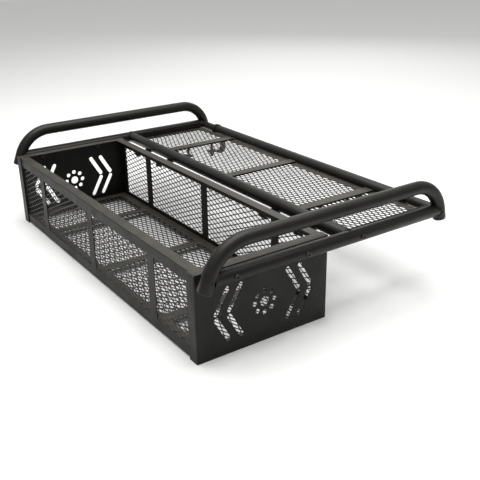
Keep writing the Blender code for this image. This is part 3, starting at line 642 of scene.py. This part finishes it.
def fold(bm, chosen, offset):
    """Draws a flange out of the chosen open edges."""
    edges = [e for e in bm.edges if e.is_boundary and chosen((e.verts[0].co + e.verts[1].co) / 2)]
    grown = bmesh.ops.extrude_edge_only(bm, edges=edges)
    bmesh.ops.translate(bm, vec=offset, verts=new_verts(grown))


def face_out(bm, outward):
    bmesh.ops.recalc_face_normals(bm, faces=bm.faces)
    widest = max(bm.faces, key=lambda f: f.calc_area())
    if widest.normal.dot(Vector(outward)) < 0:
        bmesh.ops.reverse_faces(bm, faces=bm.faces)


def sheet_metal(made, thickness, fold_radius, cutter=None):
    """Rounds the folds, gives the sheet its thickness, makes its cut-outs and softens its edges."""
    if fold_radius:
        bend = made.modifiers.new("fold", "BEVEL")
        bend.width, bend.segments = fold_radius, 5
        bend.limit_method, bend.angle_limit = "ANGLE", FOLD_ANGLE
    thicken(made, thickness)
    if cutter:
        cut_with(made, cutter)
    soften_cuts(made, CUT_EDGE)
    flat = made.modifiers.new("flat faces", "WEIGHTED_NORMAL")
    flat.keep_sharp = True
    settle(made)
    if cutter:
        bpy.data.objects.remove(cutter, do_unlink=True)
    print(made.name, "faces:", len(made.data.polygons))


# %% [markdown]
# The cut-outs of the side plates. Rounded slots in pairs make chevrons that point away from the
# middle, and a plain ring of round holes sits between them. They save weight and let mud out.

# %% Side plates
PATTERN_Z = RIM_Z - 0.1092
CHEVRON_TIPS = (0.0905, 0.1235)
SLOT_TIP_RISE, SLOT_END_RISE, SLOT_RUN, SLOT_WIDTH = 0.0072, 0.0584, 0.0292, 0.012
RING_HOLES, RING_RADIUS, RING_HOLE_RADIUS, CENTRE_HOLE_RADIUS = 8, 0.0265, 0.0062, 0.0115
CUTTER_REACH = 0.02
RELIEF = 0.0008                           # gap between a corner's flanges, so that both can fold


def slot_into(bm, start, end, radius, inside, outside, steps=10):
    """A slot with round ends as a solid, from inside the plate to outside it."""
    along = (end - start).normalized()
    across = Vector((0, -along.z, along.y))
    verts = []
    for centre, sense in ((end, 1), (start, -1)):
        for step in range(steps + 1):
            turn = math.pi * step / steps - math.pi / 2
            spot = centre + radius * sense * (along * math.cos(turn) + across * math.sin(turn))
            verts.append(bm.verts.new((inside, spot.y, spot.z)))
    grown = bmesh.ops.extrude_face_region(bm, geom=[bm.faces.new(verts)])
    bmesh.ops.translate(bm, vec=(outside - inside, 0, 0), verts=new_verts(grown))


def plate_cutter(sign):
    """All the cut-outs of one side plate as one solid."""
    bm = bmesh.new()
    inside, outside = sign * (PLATE_X - CUTTER_REACH), sign * (PLATE_X + CUTTER_REACH)
    for way in (-1, 1):
        for tip in CHEVRON_TIPS:
            for up in (-1, 1):
                start = Vector((0, BASKET_MID_Y + way * tip, PATTERN_Z + up * SLOT_TIP_RISE))
                end = Vector((0, BASKET_MID_Y + way * (tip - SLOT_RUN), PATTERN_Z + up * SLOT_END_RISE))
                slot_into(bm, start, end, SLOT_WIDTH / 2, inside, outside)
    for number in range(RING_HOLES):
        turn = math.tau * number / RING_HOLES
        y, z = BASKET_MID_Y + RING_RADIUS * math.cos(turn), PATTERN_Z + RING_RADIUS * math.sin(turn)
        rod_into(bm, (inside, y, z), (outside, y, z), RING_HOLE_RADIUS, 24)
    rod_into(bm, (inside, BASKET_MID_Y, PATTERN_Z), (outside, BASKET_MID_Y, PATTERN_Z),
             CENTRE_HOLE_RADIUS, 32)
    bmesh.ops.recalc_face_normals(bm, faces=bm.faces)
    return shown("plate_cutter", bm)


return_top = RIM_Z - SHEET - RELIEF
for side, sign in SIDES:
    outer = sign * PLATE_X
    bm = cut_face((outer, BASKET_REAR_Y, plate_low.z), (outer, BASKET_FRONT_Y, RIM_Z), (1, 2),
                  ((), (return_top,)))
    fold(bm, lambda spot: abs(spot.z - RIM_Z) < SAME, (-sign * RIM_FLANGE, 0, 0))
    for y in (BASKET_REAR_Y, BASKET_FRONT_Y):
        fold(bm, lambda spot: abs(spot.y - y) < SAME and abs(spot.x - outer) < SAME
             and spot.z < return_top, (-sign * RETURN_FLANGE, 0, 0))
    face_out(bm, (sign, 0, 0))
    plate = piece("basket_side_" + side, bm, COAT_SHEET, "side_plate_" + side)
    sheet_metal(plate, SHEET, FOLD, plate_cutter(sign))

# %% [markdown]
# The rear and front panels are folded frames and the floor is a flat frame, each with three flat bars,
# one sheet each, and the diamond mesh is spot welded behind them.

# %% Basket frames
BARS = ("left", "centre", "right")
BARS_X = [sum(corner.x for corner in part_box("deck_bar_" + name)) / 2 for name in BARS]
BAR_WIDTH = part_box("deck_bar_centre")[1].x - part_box("deck_bar_centre")[0].x
BORDER = 0.0254
WINDOW = PLATE_X - RETURN_FLANGE
bar_edges = [x + edge for x in BARS_X for edge in (-BAR_WIDTH / 2, BAR_WIDTH / 2)]


def between_bars(x, reach):
    """Whether a place lies between two bars and inside the frame's border."""
    return abs(x) < reach and all(abs(x - bar) > BAR_WIDTH / 2 for bar in BARS_X)


for name, inward in (("rear", 1), ("front", -1)):
    low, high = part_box(name + "_panel_frame")
    y = low.y if inward > 0 else high.y
    reach = PLATE_X - RIM_FLANGE - CLEARANCE
    shoulder = RIM_Z - SHEET - CLEARANCE
    bottom, top = low.z + BORDER, high.z - BORDER
    bm = cut_face((low.x, y, low.z), (high.x, y, high.z), (0, 2),
                  ((-WINDOW, -reach, *bar_edges, reach, WINDOW), (bottom, top, shoulder)),
                  lambda spot: (abs(spot.x) > reach and spot.z > shoulder)
                  or (between_bars(spot.x, WINDOW) and bottom < spot.z < top))
    fold(bm, lambda spot: abs(spot.z - high.z) < SAME, (0, inward * RIM_FLANGE, 0))
    face_out(bm, (0, -inward, 0))
    sheet_metal(piece(name + "_frame", bm, COAT_SHEET, name + "_panel_frame"), PANEL_SHEET, FOLD)

low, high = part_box("floor_frame")
bm = cut_face((low.x, low.y, high.z), (high.x, high.y, high.z), (0, 1),
              ((low.x + BORDER, *bar_edges, high.x - BORDER), (low.y + BORDER, high.y - BORDER)),
              lambda spot: between_bars(spot.x, high.x - BORDER)
              and low.y + BORDER < spot.y < high.y - BORDER)
face_out(bm, (0, 0, 1))
sheet_metal(piece("floor_grid", bm, COAT_SHEET, "floor_frame"), PANEL_SHEET, 0)

# %% [markdown]
# The deck's flat parts: three flat bars, and a flat strip along the front and rear edges. They are
# hot-rolled flat stock, so each is a block whose edges are softly rounded. The outer bars also carry
# the studs of the clamps, which run down out of them.

# %% Deck bars and strips
BAR_THICKNESS = 0.005
STUD_RADIUS = 0.004

for name in BARS:
    low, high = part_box("deck_bar_" + name)
    bm = bmesh.new()
    block_into(bm, (low.x, low.y, high.z - BAR_THICKNESS), high)
    soften(bm, 0.0008, 3)
    if name != "centre":
        for place in ("rear", "front"):
            nut_low, nut_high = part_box(f"clamp_nut_{place}_{name}")
            stud = (nut_low + nut_high) / 2
            rod_into(bm, (stud.x, stud.y, high.z - BAR_THICKNESS / 2), (stud.x, stud.y, low.z),
                     STUD_RADIUS, 24)
    piece("flat_bar_" + name, bm, COAT_SHEET, "deck_bar_" + name)

for end in ("rear", "front"):
    low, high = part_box(f"deck_{end}_strip")
    bm = bmesh.new()
    block_into(bm, low, high)
    soften(bm, 0.0005, 2)
    piece(f"{end}_strip", bm, COAT_SHEET, f"deck_{end}_strip")
print("bars at x", [round(x, 3) for x in BARS_X])

# %% [markdown]
# Button-head bolts hold the rails to the basket and to the deck. The head is a low dome with a hex
# socket, spun from a profile; the socket is a six-sided cut.

# %% Bolts
HEAD_RADIUS, HEAD_HEIGHT, BOLT_RADIUS = 0.007, 0.0044, 0.004
SOCKET_RADIUS, SOCKET_DEPTH, OVERCUT = 0.0028, 0.0026, 0.002
CHAMFER = 0.0008
FLAT_TOP = 0.42                           # the flat share of the head's radius
DOME_STEPS = 7


def button_bolt(name, node, sign):
    """A bolt across the rack with its head outwards, in the place of a CAD node."""
    low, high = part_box(node)
    middle = (low + high) / 2
    tip, head = (low.x, high.x) if sign > 0 else (high.x, low.x)
    length = abs(head - tip) - HEAD_HEIGHT
    turns = [math.pi / 2 * step / DOME_STEPS for step in range(DOME_STEPS + 1)]
    dome = [(HEAD_HEIGHT * math.sin(turn), HEAD_RADIUS * (FLAT_TOP + (1 - FLAT_TOP) * math.cos(turn)))
            for turn in turns]
    profile = [(-length, 0), (-length, BOLT_RADIUS - CHAMFER), (-length + CHAMFER, BOLT_RADIUS),
               (0, BOLT_RADIUS), (0, HEAD_RADIUS - 0.0002), *dome, (HEAD_HEIGHT, 0)]
    bm = bmesh.new()
    turned_into(bm, profile, (sign * (abs(head) - HEAD_HEIGHT), middle.y, middle.z), (sign, 0, 0))
    made = piece(name, bm, BLACK_ZINC, node)
    bm = bmesh.new()
    rod_into(bm, (head - sign * SOCKET_DEPTH, middle.y, middle.z),
             (head + sign * OVERCUT, middle.y, middle.z), SOCKET_RADIUS, 6)
    cutter = shown("socket", bm)
    cut_with(made, cutter)
    settle(made, 45)
    bpy.data.objects.remove(cutter, do_unlink=True)
    print(name, "faces:", len(made.data.polygons))


for side, sign in SIDES:
    for place in ("rear", "front"):
        button_bolt(f"rail_bolt_{place}_{side}", f"basket_bolt_{place}_{side}", sign)
    button_bolt("deck_rail_bolt_" + side, "deck_bolt_" + side, sign)

# %% [markdown]
# The nuts, spacers, clamps, hanger brackets and deck angles are small or mostly hidden, and the CAD
# shape is already right. They keep it, and only get their finish.

# %% CAD nodes that keep their own shape
keeps = {"basket_nut": BLACK_ZINC, "deck_nut": BLACK_ZINC, "clamp_": BLACK_ZINC, "plate_spacer": BLACK_ZINC,
         "hanger_bracket": COAT_SHEET, "deck_side_angle": COAT_SHEET}
for name, node in frame["nodes"].items():
    for start, material in keeps.items():
        if name.startswith(start):
            node.data.materials.clear()
            node.data.materials.append(material)
print("nodes that keep their shape:", sum(name.startswith(tuple(keeps)) for name in frame["nodes"]))

# %% [markdown]
# The stage: a plain pale floor, a broad soft light overhead and two weak ones at the sides. Black
# satin shows mostly what it reflects, so the light overhead draws the bright lines on the tubes, and
# the sides stay dark.

# %% Floor and lights
paper = bpy.data.materials.new("pale matt backdrop paper")
paper.use_nodes = True
paper_shader = paper.node_tree.nodes["Principled BSDF"]
paper_shader.inputs["Base Color"].default_value = linear("F4F4F2")
paper_shader.inputs["Roughness"].default_value = 0.9

bm = bmesh.new()
bmesh.ops.create_grid(bm, x_segments=1, y_segments=1, size=8.0)
floor = shown("floor", bm)
floor.data.materials.append(paper)

AIM = Vector((0, 0, 0.1))


def soft_light(name, place, width, depth, power):
    data = bpy.data.lights.new(name, "AREA")
    data.shape, data.size, data.size_y, data.energy = "RECTANGLE", width, depth, power
    made = bpy.data.objects.new(name, data)
    made.location = place
    made.rotation_mode = "QUATERNION"
    made.rotation_quaternion = (AIM - Vector(place)).to_track_quat("-Z", "Y")
    bpy.context.scene.collection.objects.link(made)
    print(name, "shines with", power, "W")


soft_light("overhead softbox", (0.1, 0.0, 2.6), 2.6, 2.4, 92)
soft_light("front softbox", (2.6, -2.4, 1.6), 1.6, 1.2, 5)
soft_light("back softbox", (-2.4, 2.6, 1.8), 1.6, 1.2, 14)

world = bpy.data.worlds.new("studio")
world.use_nodes = True
sky = world.node_tree.nodes["Background"]
sky.inputs["Color"].default_value = linear("FFFFFF")
sky.inputs["Strength"].default_value = 0.52
bpy.context.scene.world = world
bpy.context.scene.view_settings.view_transform = "Standard"

# %% [markdown]
# The camera stands off the rack's rear right corner and looks down on it with a long lens.

# %% Camera
AZIMUTH, ELEVATION, ROLL = math.radians(55.56), math.radians(23.27), math.radians(-0.93)
camera_data = bpy.data.cameras.new("camera")
camera_data.sensor_width, camera_data.lens = 36.0, 54.69
camera = bpy.data.objects.new("camera", camera_data)
camera.location = (1.6131, -0.9932, 0.8290)
look = Vector((-math.sin(AZIMUTH) * math.cos(ELEVATION), math.cos(AZIMUTH) * math.cos(ELEVATION),
               -math.sin(ELEVATION)))
camera.rotation_mode = "QUATERNION"
camera.rotation_quaternion = look.to_track_quat("-Z", "Y") @ Quaternion((0.0, 0.0, 1.0), ROLL)
bpy.context.scene.collection.objects.link(camera)
bpy.context.scene.camera = camera
print("camera distance, m:", round(camera.location.length, 2))
